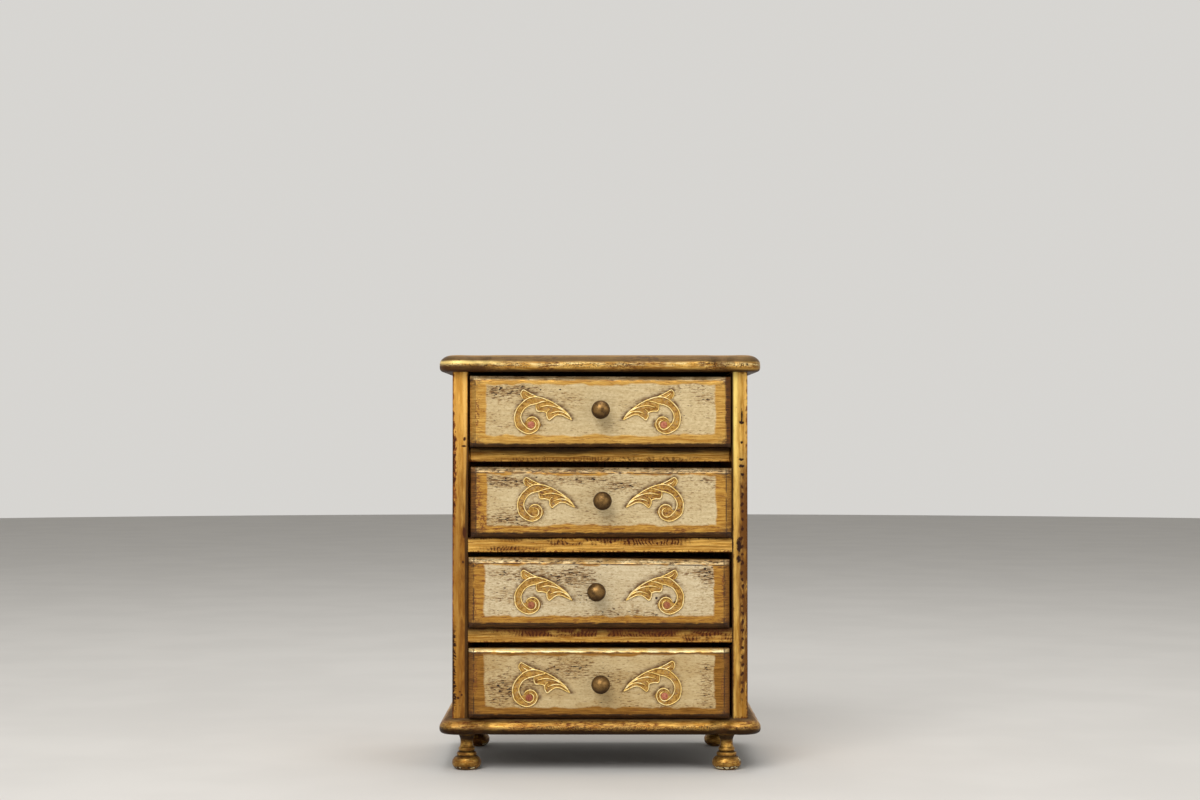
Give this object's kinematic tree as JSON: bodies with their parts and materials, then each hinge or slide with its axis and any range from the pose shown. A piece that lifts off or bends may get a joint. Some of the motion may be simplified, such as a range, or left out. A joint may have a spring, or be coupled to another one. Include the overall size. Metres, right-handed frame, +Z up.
{
  "type": "musical jewelry box",
  "caption": "Small gilt jewelry chest of drawers on turned feet, with ivory fronts, raised scrolls, ball knobs and a wind-up musical movement behind the top drawer.",
  "frame": {"origin": "on the surface that the feet stand on, in the middle of the width and of the depth from the knobs to the key", "axes": "+X to the right seen from the front, -Y to the front, +Z up"},
  "size_m": [0.19, 0.154, 0.245],
  "materials": {
    "gilt_wood": "worn metal leaf over a red-brown ground, rubbed with dark wax",
    "ivory_gesso": "ivory paint on gesso with a gilt border, rubbed through to brown",
    "gilt_gesso": "raised gesso, gilded",
    "drawer_wood": "bare softwood",
    "plywood": "thin plywood, stained",
    "felt": "wool felt",
    "antique_brass": "aged, brown patina",
    "brass": "machined",
    "steel": "bright",
    "zinc_alloy": "as cast"
  },
  "bodies": {
    "carcass": {"top_board": "gilt_wood", "base_board": "gilt_wood", "left_side": "gilt_wood", "right_side": "gilt_wood", "back_panel": "plywood", "back_panel_nails": "steel", "divider_1": "gilt_wood", "divider_2": "gilt_wood", "divider_3": "gilt_wood", "foot_front_left": "gilt_wood", "foot_front_right": "gilt_wood", "foot_rear_left": "gilt_wood", "foot_rear_right": "gilt_wood", "movement_bedplate": "zinc_alloy", "movement_screws": "steel", "spring_barrel": "steel", "mainspring": "steel", "comb": "steel", "comb_screws": "steel", "governor_frame": "brass", "stop_wire": "steel"},
    "drawer_1": {"drawer_1_front": "ivory_gesso", "drawer_1_left_side": "drawer_wood", "drawer_1_right_side": "drawer_wood", "drawer_1_back": "drawer_wood", "drawer_1_bottom": "plywood", "drawer_1_felt": "felt", "drawer_1_knob": "antique_brass", "drawer_1_scrolls": "gilt_gesso"},
    "drawer_2": {"drawer_2_front": "ivory_gesso", "drawer_2_left_side": "drawer_wood", "drawer_2_right_side": "drawer_wood", "drawer_2_back": "drawer_wood", "drawer_2_bottom": "plywood", "drawer_2_felt": "felt", "drawer_2_knob": "antique_brass", "drawer_2_scrolls": "gilt_gesso"},
    "drawer_3": {"drawer_3_front": "ivory_gesso", "drawer_3_left_side": "drawer_wood", "drawer_3_right_side": "drawer_wood", "drawer_3_back": "drawer_wood", "drawer_3_bottom": "plywood", "drawer_3_felt": "felt", "drawer_3_knob": "antique_brass", "drawer_3_scrolls": "gilt_gesso"},
    "drawer_4": {"drawer_4_front": "ivory_gesso", "drawer_4_left_side": "drawer_wood", "drawer_4_right_side": "drawer_wood", "drawer_4_back": "drawer_wood", "drawer_4_bottom": "plywood", "drawer_4_felt": "felt", "drawer_4_knob": "antique_brass", "drawer_4_scrolls": "gilt_gesso"},
    "winding": {"winding_arbor": "steel", "crown_wheel": "brass", "winding_key": "antique_brass"},
    "cylinder": {"music_cylinder": "brass", "cylinder_arbor": "brass"},
    "intermediate": {"intermediate_wheel": "brass"},
    "governor": {"governor_worm": "steel"}
  },
  "joints": [
    {"name": "drawer_1_slide", "type": "slide", "parent": "carcass", "child": "drawer_1", "axis": [0, -1, 0], "range_m": [0, 0.06], "deforming": ["stop_wire"]},
    {"name": "drawer_2_slide", "type": "slide", "parent": "carcass", "child": "drawer_2", "axis": [0, -1, 0], "range_m": [0, 0.085]},
    {"name": "drawer_3_slide", "type": "slide", "parent": "carcass", "child": "drawer_3", "axis": [0, -1, 0], "range_m": [0, 0.085]},
    {"name": "drawer_4_slide", "type": "slide", "parent": "carcass", "child": "drawer_4", "axis": [0, -1, 0], "range_m": [0, 0.085]},
    {"name": "key_turn", "type": "hinge", "parent": "carcass", "child": "winding", "pos_m": [-0.015, 0.07, 0.21769], "axis": [0, -1, 0], "continuous": true, "deforming": ["mainspring"]},
    {"name": "cylinder_spin", "type": "hinge", "parent": "carcass", "child": "cylinder", "pos_m": [0, 0.04256, 0.21769], "axis": [1, 0, 0], "continuous": true},
    {"name": "intermediate_spin", "type": "hinge", "parent": "carcass", "child": "intermediate", "pos_m": [0, 0.04939, 0.21039], "axis": [1, 0, 0], "continuous": true},
    {"name": "governor_spin", "type": "hinge", "parent": "carcass", "child": "governor", "pos_m": [0.0222, 0.05, 0.20519], "axis": [0, -1, 0], "continuous": true}
  ],
  "couplings": [
    {"joint": "cylinder_spin", "follows": "key_turn", "ratio": 2.5},
    {"joint": "intermediate_spin", "follows": "key_turn", "ratio": -10},
    {"joint": "governor_spin", "follows": "key_turn", "ratio": -200}
  ]
}
